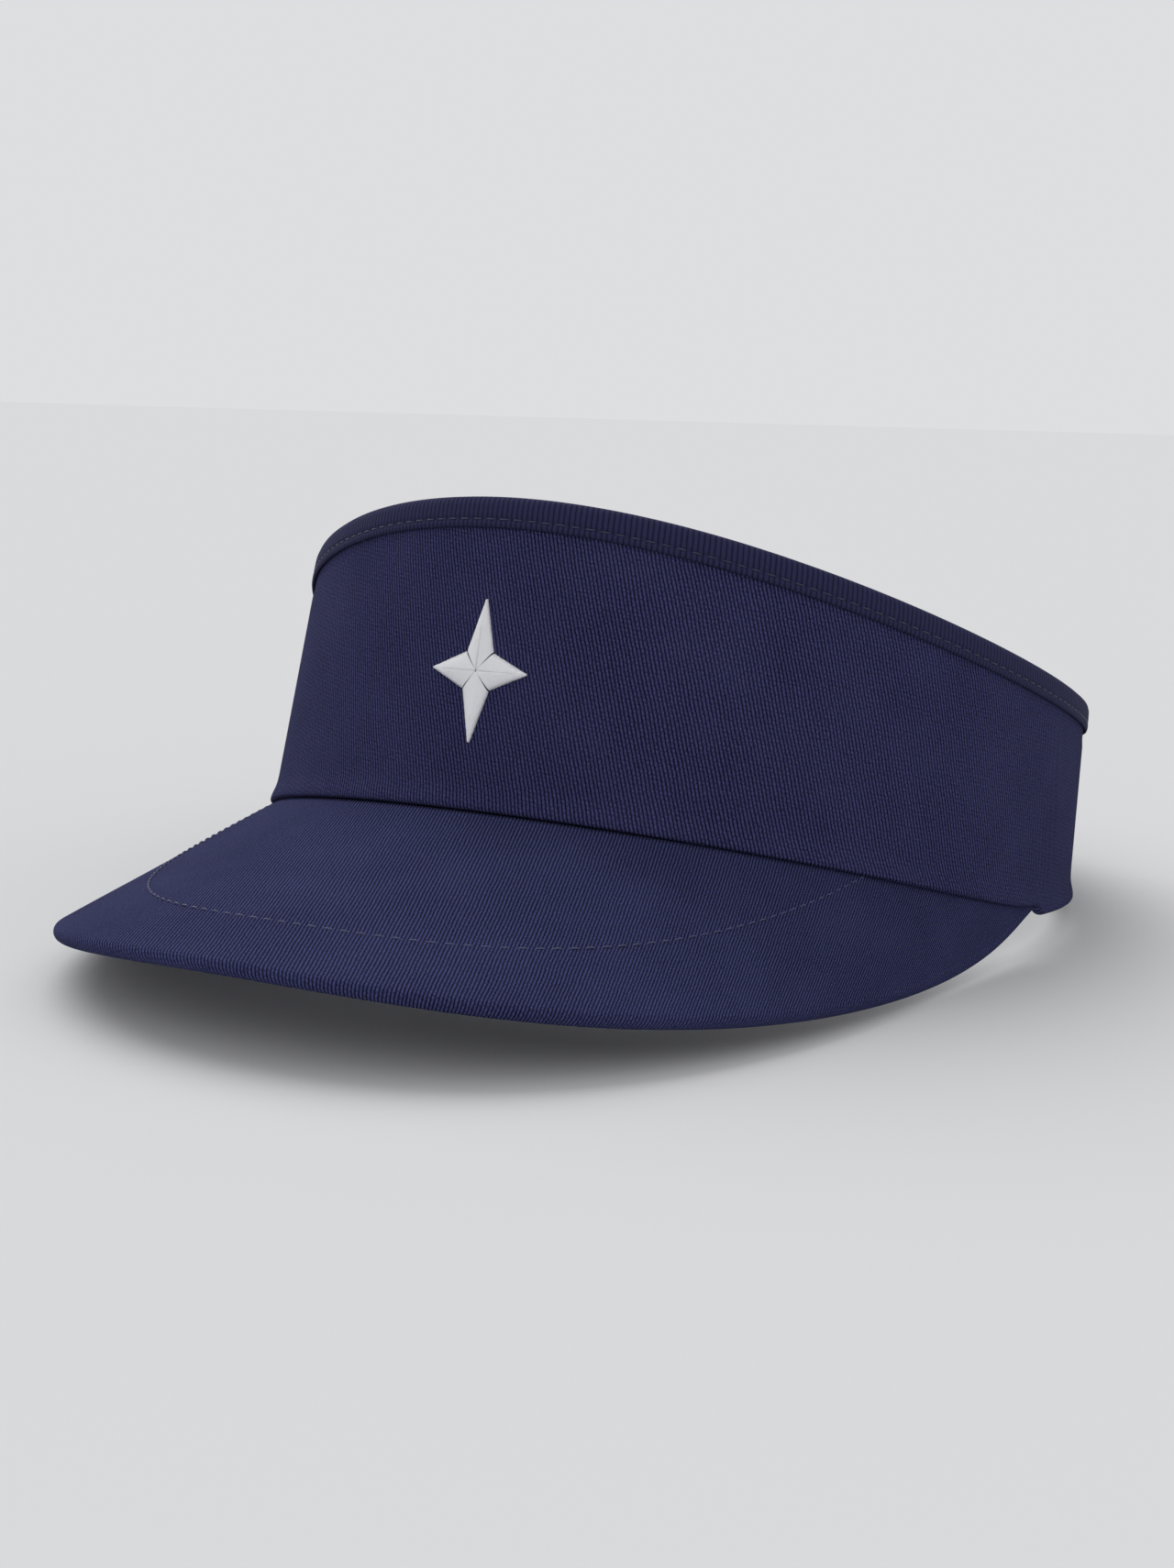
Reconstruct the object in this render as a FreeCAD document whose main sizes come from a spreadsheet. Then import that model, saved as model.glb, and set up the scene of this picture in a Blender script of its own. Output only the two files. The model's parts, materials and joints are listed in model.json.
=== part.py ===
"""Sun visor: a fabric crown band with a stiff curved brim and a hook-and-loop strap at the back.

Working frame of the pieces: origin at the centre of the crown's hem ellipse, front towards -Y,
wearer's left towards +X, +Z up the crown. At the end every piece is tilted and moved together,
so that the visor stands on its brim edge and on the rear corners of its hem, with the origin
at the bottom centre of the whole object.
"""
import FreeCAD, Part
import os
import re

from FreeCAD import Placement, Rotation, Vector

os.makedirs("parts", exist_ok=True)
doc = FreeCAD.newDocument("sun_visor")

# ---------------------------------------------------------------- driving dimensions
# Millimetres and degrees. Depths are measured inwards from the crown's outer face, and brim
# depths straight down from the brim's top face, so the brim thins towards its steep shoulders.
SIZES = {
    # crown wall: an oval at the hem and a wider, further back oval at the reference height
    "crown_half_width": 89.0,
    "crown_half_length": 99.0,
    "crown_upper_half_width": 84.8,
    "crown_upper_half_length": 103.5,
    "crown_upper_shift": 11.9,
    "crown_reference_height": 72.1,
    "crown_end_angle": 138.0,
    # top edge: one arc seen from the side, lowest near the back
    "top_arc_radius": 520.5,
    "top_arc_low_y": 93.6,
    "top_arc_low_height": 27.2,
    # hem behind the brim's corners: a straight line seen from the side
    "hem_front_y": -9.5,
    "hem_front_height": -14.9,
    "hem_slope": 2.0,
    # line that the sweatband follows in front of the corners, close to the seam with the brim
    "seam_slope": -6.9,
    # brim: an elliptical arch that slopes down to the front
    "brim_arch_half_width": 90.9,
    "brim_arch_rise": 49.8,
    "brim_slope": 17.74,
    "brim_half_width": 89.6,
    "brim_reach": 152.6,
    "brim_shoulder_y": -20.6,
    "brim_side_fullness": 0.611,
    "brim_front_fullness": 0.711,
    "brim_corner_y": -11.0,
    "brim_corner_angle": 85.2,
    "brim_thickness": 3.2,
    "brim_cloth": 0.7,
    "brim_stitch_inset": 17.5,
    "brim_board_inset": 1.6,
    # cloth layers of the crown, as depths of their outer and inner faces; the inner layers stop
    # short of the hem, which the outer cloth is folded round
    "inner_layer_lift": 1.2,
    "panel_inner": 0.8,
    "stiffener_outer": 0.85,
    "stiffener_inner": 1.6,
    "backing_outer": 1.65,
    "backing_inner": 1.95,
    "lining_outer": 2.0,
    "lining_inner": 2.5,
    "foam_outer": 2.6,
    "foam_inner": 3.8,
    "sweatband_outer": 3.85,
    "sweatband_inner": 5.0,
    "tape_outer": 5.05,
    "tape_inner": 5.5,
    # top binding: a folded tape over the top edge
    "binding_width": 6.0,
    "binding_cloth": 0.6,
    "layer_gap": 0.05,
    "thread": 0.35,
    "binding_stitch_depth": 4.2,
    # sweatband
    "sweatband_lift": 1.0,
    "sweatband_width": 30.0,
    "foam_width": 26.0,
    "tape_width": 7.0,
    "sweatband_end_angle": 135.5,
    "stitch_margin": 2.0,
    "size_label_start": 108.0,
    "size_label_end": 118.0,
    "care_label_start": 119.5,
    "care_label_end": 131.0,
    "label_margin": 4.0,
    # emblem: a plain four-pointed star in raised satin stitch
    "emblem_half_height": 14.0,
    "emblem_half_width": 10.5,
    "emblem_waist_across": 2.9,
    "emblem_waist_up": 3.6,
    "emblem_centre_height": 27.4,
    "emblem_raise": 0.9,
    "backing_margin": 5.0,
    # closure straps at the back
    "strap_outer_face": 0.2,
    "strap_cloth": 1.4,
    "hook_thickness": 0.8,
    "loop_thickness": 0.7,
    "closure_gap": 0.4,
    "strap_drop": 3.0,
    "strap_rise": 2.6,
    "outer_strap_start": 140.5,
    "outer_strap_end": 188.0,
    "tab_start": 190.0,
    "tab_end": 214.0,
    "inner_strap_start": 165.0,
    "inner_strap_end": 219.5,
    "hook_start": 193.0,
    "hook_end": 212.5,
    "loop_start": 168.0,
    "loop_end": 214.5,
    "patch_margin": 2.5,
    "patch_stitch_inset": 1.0,
    "patch_stitch_turn": 0.5,
    "thread_turn": 0.25,
    # bar tacks, as angles before the crown's rear ends
    "tack_back": 2.2,
    "tack_turn": 0.8,
    "tack_top_margin": 9.0,
    "tack_hem_margin": 6.0,
    # stance
    "stance_tilt": 6.8,
}
sheet = doc.addObject("Spreadsheet::Sheet", "Sheet")
for row, (alias, value) in enumerate(SIZES.items(), start=1):
    sheet.set(f"A{row}", alias)
    sheet.set(f"B{row}", str(value))
    sheet.setAlias(f"B{row}", alias)
doc.recompute()

WALL_LOW, WALL_HIGH = -40.0, 95.0   # heights between which the crown wall is lofted before trimming
REACH = 220.0                       # half-size of the trimming tools, larger than the visor
pieces = {}


def size(alias):
    """The current value of a named cell."""
    return float(sheet.get(alias))


def cells(expression):
    """Write out the sheet's name in front of every alias of an expression."""
    return re.sub(r"[a-z_]+", lambda word: ("Sheet." if word[0] in SIZES else "") + word[0], expression)


def add(kind, name, **expressions):
    """Add a document object and bind the given properties to sheet expressions."""
    made = doc.addObject(kind, name)
    for prop, expression in expressions.items():
        made.setExpression(prop.replace("__", "."), cells(expression))
    return made


def cut(name, base, tool):
    made = doc.addObject("Part::Cut", name)
    made.Base, made.Tool = base, tool
    return made


def common(name, *shapes):
    made = doc.addObject("Part::MultiCommon", name)
    made.Shapes = list(shapes)
    return made


def fuse(name, *shapes):
    made = doc.addObject("Part::MultiFuse", name)
    made.Shapes = list(shapes)
    return made


def keep(node, made):
    """Name a finished sub-part."""
    made.Label = node
    pieces[node] = made
    return made


# ---------------------------------------------------------------- trimming tools
SEAM_BACK, SEAM_FRONT = 90, -90     # turn of the ovals, which puts the surface's own seam there


def wall_oval(name, height, depth, seam):
    """Oval section of the crown wall at a height, a depth inside its outer face."""
    share = f"{height} / crown_reference_height"
    oval = add("Part::Ellipse", name)
    oval.Placement = Placement(Vector(0, 0, height), Rotation(Vector(0, 0, 1), seam))
    oval.setExpression("MajorRadius", cells(
        f"crown_half_length + ( crown_upper_half_length - crown_half_length ) * {share} - ( {depth} )"))
    oval.setExpression("MinorRadius", cells(
        f"crown_half_width + ( crown_upper_half_width - crown_half_width ) * {share} - ( {depth} )"))
    oval.setExpression("Placement.Base.y", cells(f"crown_upper_shift * {share}"))
    return oval


walls = {}


def wall(depth, seam=SEAM_BACK):
    """Everything inside the crown surface that lies at a depth inside the outer face."""
    if (depth, seam) not in walls:
        number = len(walls)
        loft = doc.addObject("Part::Loft", f"wall_{number}")
        loft.Sections = [wall_oval(f"wall_low_{number}", WALL_LOW, depth, seam),
                         wall_oval(f"wall_high_{number}", WALL_HIGH, depth, seam)]
        loft.Solid, loft.Ruled = True, True
        walls[depth, seam] = loft
    return walls[depth, seam]


def layer(name, outer, inner, seam=SEAM_BACK):
    """Closed ring of cloth between two depths."""
    return cut(name, wall(outer, seam), wall(inner, seam))


def sector(name, start, end):
    """Slice of space between two angles, counted from the front towards the wearer's left."""
    made = add("Part::Cylinder", name, Angle=f"{end} - ( {start} )")
    made.Radius, made.Height = REACH, WALL_HIGH - WALL_LOW
    made.Placement = Placement(Vector(0, 0, WALL_LOW), Rotation(Vector(0, 0, 1), 0))
    made.setExpression("Placement.Rotation.Angle", cells(f"{start} - 90"))
    return made


def over_top(name, depth):
    """Space above the top edge arc, with its boundary lowered by a depth."""
    made = add("Part::Cylinder", name, Radius=f"top_arc_radius + {depth}")
    made.Height = 2 * REACH
    made.Placement = Placement(Vector(REACH, 0, 0), Rotation(Vector(0, 1, 0), -90))
    made.setExpression("Placement.Base.y", cells("top_arc_low_y"))
    made.setExpression("Placement.Base.z", cells("top_arc_low_height + top_arc_radius"))
    return made


def under_hem(name, lift, slope="hem_slope"):
    """Space below a straight line through the hem's front point, with its boundary raised by a lift."""
    made = add("Part::Box", name)
    made.Length, made.Width, made.Height = 2 * REACH, 2 * REACH, REACH
    made.Placement = Placement(Vector(-REACH, 0, 0), Rotation(Vector(1, 0, 0), 5))
    made.setExpression("Placement.Rotation.Angle", cells(slope))
    fall = f"( hem_front_y + {REACH} )"
    made.setExpression("Placement.Base.y", cells(f"-{REACH} + {REACH} * sin({slope})"))
    made.setExpression("Placement.Base.z", cells(
        f"hem_front_height + {lift} - {fall} * tan({slope}) - {REACH} * cos({slope})"))
    return made


def under_band(name, lift):
    """Space below the bent line that the sweatband follows, with its boundary raised by a lift."""
    return fuse(name, under_hem(name + "_back", lift), under_hem(name + "_front", lift, "seam_slope"))


def brim_arch(name, depth):
    """Solid under the brim surface that lies straight down from the brim's top face by a depth."""
    oval = add("Part::Ellipse", name + "_oval", MajorRadius="brim_arch_half_width",
               MinorRadius="brim_arch_rise * cos(brim_slope)")
    oval.Placement = Placement(Vector(), Rotation(Vector(1, 0, 0), 100))
    oval.setExpression("Placement.Rotation.Angle", cells("90 + brim_slope"))
    oval.setExpression("Placement.Base.y", cells(
        "brim_arch_rise * cos(brim_slope) * sin(brim_slope) - crown_half_length"))
    oval.setExpression("Placement.Base.z", cells(
        f"0 - brim_arch_rise * cos(brim_slope) * cos(brim_slope) - ( {depth} )"))
    made = doc.addObject("Part::Extrusion", name)
    made.Base, made.DirMode, made.Solid = oval, "Normal", True
    made.LengthFwd, made.LengthRev = REACH, REACH
    return made


def brim_plan(name, inset=0.0):
    """Upright prism over the brim's plan: a full rounded front, straight shoulders and square
    rear corners, all drawn in by an inset."""
    half, reach = size("brim_half_width") - inset, size("brim_reach") - inset
    side_full, front_full = size("brim_side_fullness"), size("brim_front_fullness")
    shoulder = size("brim_shoulder_y")
    back = max(shoulder, size("brim_corner_y") - inset)
    edges = []
    for side in (-1, 1):
        front = Part.BezierCurve()
        front.setPoles([Vector(0, shoulder - reach, 0), Vector(side * front_full * half, shoulder - reach, 0),
                        Vector(side * half, shoulder - side_full * reach, 0), Vector(side * half, shoulder, 0)])
        edges.append(front.toShape())
        if back > shoulder:
            edges.append(Part.makeLine(Vector(side * half, shoulder, 0), Vector(side * half, back, 0)))
    edges.append(Part.makeLine(Vector(-half, back, 0), Vector(half, back, 0)))
    face = Part.Face(Part.Wire(Part.__sortEdges__(edges)))
    face.translate(Vector(0, 0, 2 * WALL_LOW))
    made = doc.addObject("Part::Feature", name)
    made.Shape = face.extrude(Vector(0, 0, WALL_HIGH - 2 * WALL_LOW))
    return made


def upper_half(name):
    """Slab above the springing line of the brim's arch."""
    made = add("Part::Box", name)
    made.Length, made.Width, made.Height = 2 * REACH, 2 * REACH, REACH
    made.Placement = Placement(Vector(-REACH, 0, 0), Rotation(Vector(1, 0, 0), 10))
    made.setExpression("Placement.Rotation.Angle", cells("brim_slope"))
    made.setExpression("Placement.Base.y", cells(
        "0 - crown_half_length + brim_arch_rise * cos(brim_slope) * sin(brim_slope) "
        f"- {REACH} * cos(brim_slope)"))
    made.setExpression("Placement.Base.z", cells(
        f"0 - brim_arch_rise * cos(brim_slope) * cos(brim_slope) - {REACH} * sin(brim_slope)"))
    return made


crown_sector = sector("crown_sector", "0 - crown_end_angle", "crown_end_angle")
band_sector = sector("band_sector", "0 - sweatband_end_angle", "sweatband_end_angle")
seat_sector = sector("seat_sector", "0 - brim_corner_angle", "brim_corner_angle")
brim_space = upper_half("brim_space")
top_of_brim = brim_arch("top_of_brim", "0 - layer_gap")
brim_seat = common("brim_seat", top_of_brim, seat_sector)
crown_floor = fuse("crown_floor", brim_seat, under_hem("crown_hem", "0"))
inner_seat = common("inner_seat", brim_arch("above_brim", "0 - inner_layer_lift"), seat_sector)
inner_floor = fuse("inner_floor", inner_seat, under_hem("inner_hem", "inner_layer_lift"))


# ---------------------------------------------------------------- crown
def crown_cloth(node, outer, inner, floor):
    """One cloth layer of the crown, trimmed at the top edge, the hem and the rear ends."""
    ring = common(node + "_ring", layer(node + "_layer", outer, inner), crown_sector)
    trimmed = cut(node + "_trimmed", ring, over_top(node + "_top", "binding_cloth + layer_gap"))
    return keep(node, cut(node, trimmed, floor))


def build_crown():
    crown_cloth("crown_panel", "0", "panel_inner", crown_floor)
    crown_cloth("crown_stiffener", "stiffener_outer", "stiffener_inner", inner_floor)
    crown_cloth("crown_lining", "lining_outer", "lining_inner", inner_floor)


def build_binding():
    """Tape folded over the top edge, with one row of thread along its outer leg."""
    outside = "0 - binding_cloth - layer_gap"
    inside = "lining_inner + binding_cloth + layer_gap"
    ring = common("binding_ring", layer("binding_layer", outside, inside), crown_sector)
    whole = cut("binding_whole", ring, over_top("binding_top", "0"))
    below = cut("binding_below", layer("binding_core_layer", "0 - layer_gap", "lining_inner + layer_gap"),
                over_top("binding_core_top", "binding_cloth"))
    hollow = cut("binding_hollow", whole, below)
    keep("top_binding", common("top_binding", hollow, over_top("binding_hem", "binding_width")))

    row = common("binding_stitch_ring",
                 layer("binding_stitch_layer", f"{outside} - thread", f"{outside} - layer_gap"),
                 crown_sector, over_top("binding_stitch_low", "binding_stitch_depth + thread"))
    keep("binding_stitch", cut("binding_stitch", row, over_top("binding_stitch_high", "binding_stitch_depth")))


# ---------------------------------------------------------------- emblem
def star_prism(name):
    """Prism of an upright four-pointed star, running through the front of the crown."""
    tall, wide, centre = size("emblem_half_height"), size("emblem_half_width"), size("emblem_centre_height")
    across, up = size("emblem_waist_across"), size("emblem_waist_up")
    corners = [(0, tall), (across, up), (wide, 0), (across, -up),
               (0, -tall), (-across, -up), (-wide, 0), (-across, up)]
    loop = [Vector(x, -REACH, centre + z) for x, z in corners + corners[:1]]
    made = doc.addObject("Part::Feature", name)
    made.Shape = Part.Face(Part.makePolygon(loop)).extrude(Vector(0, REACH, 0))
    return made


def build_emblem():
    keep("emblem_embroidery", common(
        "emblem_embroidery", layer("emblem_layer", "0 - emblem_raise", "0 - layer_gap"),
        star_prism("emblem_prism")))
    patch = add("Part::Box", "backing_prism", Length="2 * ( emblem_half_width + backing_margin )",
                Height="2 * ( emblem_half_height + backing_margin )",
                Placement__Base__x="0 - emblem_half_width - backing_margin",
                Placement__Base__z="emblem_centre_height - emblem_half_height - backing_margin")
    patch.Width = REACH
    patch.setExpression("Placement.Base.y", f"0 - {REACH}")
    keep("emblem_backing", common(
        "emblem_backing", layer("backing_layer", "backing_outer", "backing_inner"), patch))


# ---------------------------------------------------------------- brim
def brim_sheet(name, upper, lower, plan, *trims):
    """Arched sheet between two brim depths, inside a plan and outside the trimming solids."""
    thick = cut(name + "_arch", brim_arch(name + "_upper", upper), brim_arch(name + "_lower", lower))
    sheet_piece = common(name + "_sheet", thick, plan, brim_space)
    for number, trim in enumerate(trims):
        sheet_piece = cut(f"{name}_trim_{number}", sheet_piece, trim)
    return sheet_piece


def build_brim():
    """Stiff board between two cloths; the top cloth wraps the board's edge."""
    inside = wall("lining_inner")
    cloth, gap, inset = size("brim_cloth"), size("layer_gap"), size("brim_stitch_inset")
    plan = brim_plan("brim_plan")
    cloth_plan = brim_plan("brim_cloth_plan", cloth + gap)
    board_plan = brim_plan("brim_board_plan", size("brim_board_inset"))
    whole = brim_sheet("cover", "0", "brim_thickness", plan, inside)
    pocket = brim_sheet("pocket", "brim_cloth", "brim_thickness + 1", cloth_plan)
    keep("brim_top_cover", cut("brim_top_cover", whole, pocket))
    keep("brim_board", brim_sheet("brim_board", "brim_cloth + layer_gap",
                                  "brim_thickness - brim_cloth - layer_gap", board_plan, inside))
    under_plan = brim_plan("brim_under_plan", cloth + 2 * gap)
    keep("brim_under_cover", brim_sheet("brim_under_cover", "brim_thickness - brim_cloth",
                                        "brim_thickness", under_plan, inside))
    row = brim_sheet("brim_stitch_row", "0 - thread", "0 - layer_gap",
                     brim_plan("brim_stitch_plan", inset), wall("0 - layer_gap"))
    keep("brim_stitch", cut("brim_stitch", row, brim_plan("brim_stitch_inner", inset + size("thread"))))


# ---------------------------------------------------------------- sweatband and labels
def build_sweatband():
    """Padded band inside the hem: foam, terry face, a tape along the hem and a row of thread."""
    def band(node, outer, inner, width, base="sweatband_lift"):
        ring = common(node + "_ring", layer(node + "_layer", outer, inner), band_sector,
                      under_band(node + "_height", width))
        return cut(node, ring, under_band(node + "_hem", base))

    keep("sweatband_foam", band("sweatband_foam", "foam_outer", "foam_inner", "foam_width"))
    keep("sweatband_face", band("sweatband_face", "sweatband_outer", "sweatband_inner",
                                "sweatband_width"))
    keep("sweatband_tape", band("sweatband_tape", "tape_outer", "tape_inner", "tape_width"))
    row = "sweatband_width - stitch_margin"
    keep("sweatband_stitch", band("sweatband_stitch", "tape_outer", "tape_outer + thread",
                                  row, f"{row} - thread"))


# ---------------------------------------------------------------- closure straps
def strap_cloth(node, outer, inner, start, end, margin):
    """Part of the band's ring at the back, a margin inside the band's own edges."""
    ring = common(node + "_ring", layer(node + "_layer", outer, inner, SEAM_FRONT),
                  sector(node + "_sector", start, end))
    open_top = cut(node + "_trimmed", ring, over_top(node + "_top", f"strap_rise + {margin}"))
    return cut(node, open_top, under_hem(node + "_hem", f"strap_drop + {margin}"))


def frame_row(node, outer, start, end, margin):
    """Thin rectangular row of thread round a patch."""
    turn = "thread_turn"
    block = strap_cloth(node + "_block", f"{outer} - thread", outer, start, end, margin)
    hole = strap_cloth(node + "_hole", f"{outer} - thread - 1", f"{outer} + 1",
                       f"{start} + {turn}", f"{end} - {turn}", f"{margin} + thread")
    return cut(node, block, hole)


def build_straps():
    strap_inner = "strap_outer_face + strap_cloth"
    hook_outer = f"{strap_inner} + layer_gap"
    hook_inner = f"{hook_outer} + hook_thickness"
    loop_outer = f"{hook_inner} + closure_gap"
    loop_inner = f"{loop_outer} + loop_thickness"
    inner_outer = f"{loop_inner} + layer_gap"
    keep("outer_strap", strap_cloth("outer_strap", "strap_outer_face", strap_inner,
                                    "outer_strap_start", "outer_strap_end", "0"))
    keep("closure_tab", strap_cloth("closure_tab", "strap_outer_face", strap_inner,
                                    "tab_start", "tab_end", "0"))
    keep("hook_patch", strap_cloth("hook_patch", hook_outer, hook_inner,
                                   "hook_start", "hook_end", "patch_margin"))
    keep("inner_strap", strap_cloth("inner_strap", inner_outer, f"{inner_outer} + strap_cloth",
                                    "inner_strap_start", "inner_strap_end", "0"))
    keep("loop_patch", strap_cloth("loop_patch", loop_outer, loop_inner,
                                   "loop_start", "loop_end", "patch_margin"))
    keep("hook_patch_stitch", frame_row("hook_patch_stitch", "strap_outer_face - layer_gap",
                                        "hook_start + patch_stitch_turn", "hook_end - patch_stitch_turn",
                                        "patch_margin + patch_stitch_inset"))
    keep("loop_patch_stitch", frame_row("loop_patch_stitch",
                                        f"{inner_outer} + strap_cloth + layer_gap + thread",
                                        "loop_start + patch_stitch_turn", "loop_end - patch_stitch_turn",
                                        "patch_margin + patch_stitch_inset"))


def build_bar_tacks():
    """Short thick stitches that hold the strap ends to the crown's rear ends."""
    for side, start in (("left", "crown_end_angle - tack_back - tack_turn"),
                        ("right", "0 - crown_end_angle + tack_back")):
        ring = common(f"tack_{side}_ring",
                      layer(f"tack_{side}_layer", "0 - thread", "0 - layer_gap"),
                      sector(f"tack_{side}_sector", start, f"{start} + tack_turn"))
        low = cut(f"tack_{side}_low", ring, over_top(f"tack_{side}_top", "tack_top_margin"))
        hem = under_hem(f"tack_{side}_hem", "tack_hem_margin")
        keep(f"bar_tack_{side}", cut(f"bar_tack_{side}_rows", low, hem))


def build_labels():
    """Two plain woven labels inside the sweatband, near the rear ends."""
    for node in ("size_label", "care_label"):
        ring = common(node + "_ring", layer(node + "_layer", "tape_outer", "tape_outer + thread"),
                      sector(node + "_sector", node + "_start", node + "_end"),
                      under_hem(node + "_height", "sweatband_width - label_margin"))
        keep(node, cut(node, ring, under_hem(node + "_hem", "tape_width + 1")))


build_crown()
build_binding()
build_emblem()
build_brim()
build_sweatband()
build_straps()
build_bar_tacks()
build_labels()
doc.recompute()


# ---------------------------------------------------------------- stance and checks
def check(stage):
    """Stop unless every object recomputed and every sub-part is a valid solid."""
    for made in doc.Objects:
        if "Invalid" in made.State or "Error" in made.State:
            raise RuntimeError(f"{stage}: {made.Name} failed: {made.getStatusString()}")
    for node, made in pieces.items():
        shape = made.Shape
        if shape.isNull() or not shape.isValid() or not shape.Solids or shape.Volume <= 0:
            raise RuntimeError(f"{stage}: {node} is not a valid solid")


check("built")
tilt = Placement(Vector(), Rotation(Vector(1, 0, 0), -size("stance_tilt")))
box = FreeCAD.BoundBox()
for made in pieces.values():
    turned = made.Shape.copy()
    turned.Placement = tilt
    box.add(turned.optimalBoundingBox())
foot = Vector(box.Center.x, box.Center.y, box.ZMin)
stance = Placement(foot.negative(), Rotation()) * tilt
for made in pieces.values():
    made.Placement = stance
doc.recompute()
check("placed")

for node, made in pieces.items():
    made.Shape.exportStep(f"parts/{node}.step")
    print(f"{node:20s} volume {made.Shape.Volume:9.1f} mm3, solids {len(made.Shape.Solids)}")
print(f"stance offset {-foot.y:.3f} {-foot.z:.3f} mm, box {box.XLength:.2f} x {box.YLength:.2f} x {box.ZLength:.2f}")
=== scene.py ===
"""Looks of the sun visor: twill crown and brim, ribbed binding, satin-stitch emblem, terry sweatband,
hook-and-loop straps, camera, floor and light. Shapes are worked out in millimetres in the crown's own
frame (origin at the centre of the hem oval, front towards -Y, +Z up the crown) and put in the row frame."""

import json
import math

import bpy
import numpy as np
from mathutils import Matrix, Vector


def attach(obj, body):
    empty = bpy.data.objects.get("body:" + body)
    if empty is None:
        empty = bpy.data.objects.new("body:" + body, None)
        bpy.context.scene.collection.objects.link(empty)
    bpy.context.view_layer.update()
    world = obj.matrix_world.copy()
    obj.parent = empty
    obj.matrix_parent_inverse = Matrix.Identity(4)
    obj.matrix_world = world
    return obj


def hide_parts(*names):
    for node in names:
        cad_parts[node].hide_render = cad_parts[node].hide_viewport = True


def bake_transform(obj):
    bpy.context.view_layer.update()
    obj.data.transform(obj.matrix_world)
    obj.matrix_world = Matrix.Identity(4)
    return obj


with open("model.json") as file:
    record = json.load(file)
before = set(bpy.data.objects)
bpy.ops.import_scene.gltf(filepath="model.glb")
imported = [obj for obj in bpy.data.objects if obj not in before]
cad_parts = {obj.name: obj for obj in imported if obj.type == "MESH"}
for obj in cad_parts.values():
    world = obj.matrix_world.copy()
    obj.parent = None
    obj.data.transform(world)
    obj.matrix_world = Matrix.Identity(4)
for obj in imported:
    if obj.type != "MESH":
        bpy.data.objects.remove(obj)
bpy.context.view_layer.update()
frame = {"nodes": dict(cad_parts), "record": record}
RNG = np.random.default_rng(11)

# ---------------------------------------------------------------- the crown's frame
MM = 0.001
head_band = next(m for m in frame["record"]["mounts"] if m["name"] == "head_band")
CROWN_ORIGIN = np.array(head_band["pos_m"])
TILT = math.atan2(head_band["axis"][1], head_band["axis"][2])

# ---------------------------------------------------------------- shape, in mm and degrees
HALF_WIDTH, HALF_LENGTH = 89.0, 99.0            # crown's outer face at the hem plane
UPPER_HALF_WIDTH, UPPER_HALF_LENGTH = 84.8, 103.5
UPPER_SHIFT, REFERENCE_HEIGHT = 11.9, 72.1
CROWN_END = 138.0
TOP_RADIUS, TOP_LOW_Y, TOP_LOW_HEIGHT = 520.5, 93.6, 27.2
HEM_FRONT_Y, HEM_FRONT_HEIGHT, HEM_SLOPE = -9.5, -14.9, math.radians(2.0)
SEAM_SLOPE = math.radians(-6.9)                 # the line that the sweatband follows along the brim
ARCH_HALF_WIDTH, ARCH_RISE, BRIM_SLOPE = 90.9, 49.8, math.radians(17.74)
BRIM_HALF_WIDTH, BRIM_REACH, SHOULDER_Y = 89.6, 152.6, -20.6
SIDE_FULLNESS, FRONT_FULLNESS = 0.611, 0.711
CORNER_ANGLE, CORNER_Y = 85.2, -11.0
BRIM_THICKNESS, STITCH_INSET = 3.0, 17.5
BINDING_WIDTH = 6.0


def to_row(points):
    """Crown-frame millimetres to row-frame metres."""
    p = np.asarray(points, float)
    c, s = math.cos(TILT), math.sin(TILT)
    y, z = p[..., 1] * c + p[..., 2] * s, -p[..., 1] * s + p[..., 2] * c
    return np.stack([p[..., 0], y, z], -1) * MM + CROWN_ORIGIN


def wall(t, z, depth=0.0):
    """Point of the crown wall at an angle from the front, a height and a depth inside the outer face."""
    t, z, depth = np.broadcast_arrays(np.asarray(t, float), np.asarray(z, float), np.asarray(depth, float))
    share = z / REFERENCE_HEIGHT
    a = HALF_WIDTH + (UPPER_HALF_WIDTH - HALF_WIDTH) * share - depth
    b = HALF_LENGTH + (UPPER_HALF_LENGTH - HALF_LENGTH) * share - depth
    r = np.radians(t)
    return np.stack([a * np.sin(r), UPPER_SHIFT * share - b * np.cos(r), z], -1)


def brim_height(x, y):
    """Height of the brim's top face over a plan point."""
    across = np.clip(np.asarray(x, float) / ARCH_HALF_WIDTH, -0.9995, 0.9995)
    return (y + HALF_LENGTH) * math.tan(BRIM_SLOPE) - ARCH_RISE * (1 - np.sqrt(1 - across ** 2))


def top_height(t, drop=0.0):
    """Height of the crown's top edge, lowered by a drop, at an angle from the front."""
    z = np.full(np.shape(t), 50.0)
    for _ in range(12):
        y = wall(t, z)[..., 1]
        z = TOP_LOW_HEIGHT + TOP_RADIUS - np.sqrt((TOP_RADIUS + drop) ** 2 - (y - TOP_LOW_Y) ** 2)
    return z


def seat_height(t):
    """Height at which the crown's outer face meets the brim's top face."""
    z = np.full(np.shape(t), 0.0)
    for _ in range(12):
        p = wall(t, z)
        z = brim_height(p[..., 0], p[..., 1])
    return z


def smooth(x, low, high):
    s = np.clip((np.asarray(x, float) - low) / (high - low), 0, 1)
    return s * s * (3 - 2 * s)


def straight_hem(t, slope=HEM_SLOPE):
    """Height of the straight line that the hem follows behind the brim's corners."""
    z = np.full(np.shape(t), -10.0)
    for _ in range(6):
        z = HEM_FRONT_HEIGHT + (wall(t, z)[..., 1] - HEM_FRONT_Y) * math.tan(slope)
    return z


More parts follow.
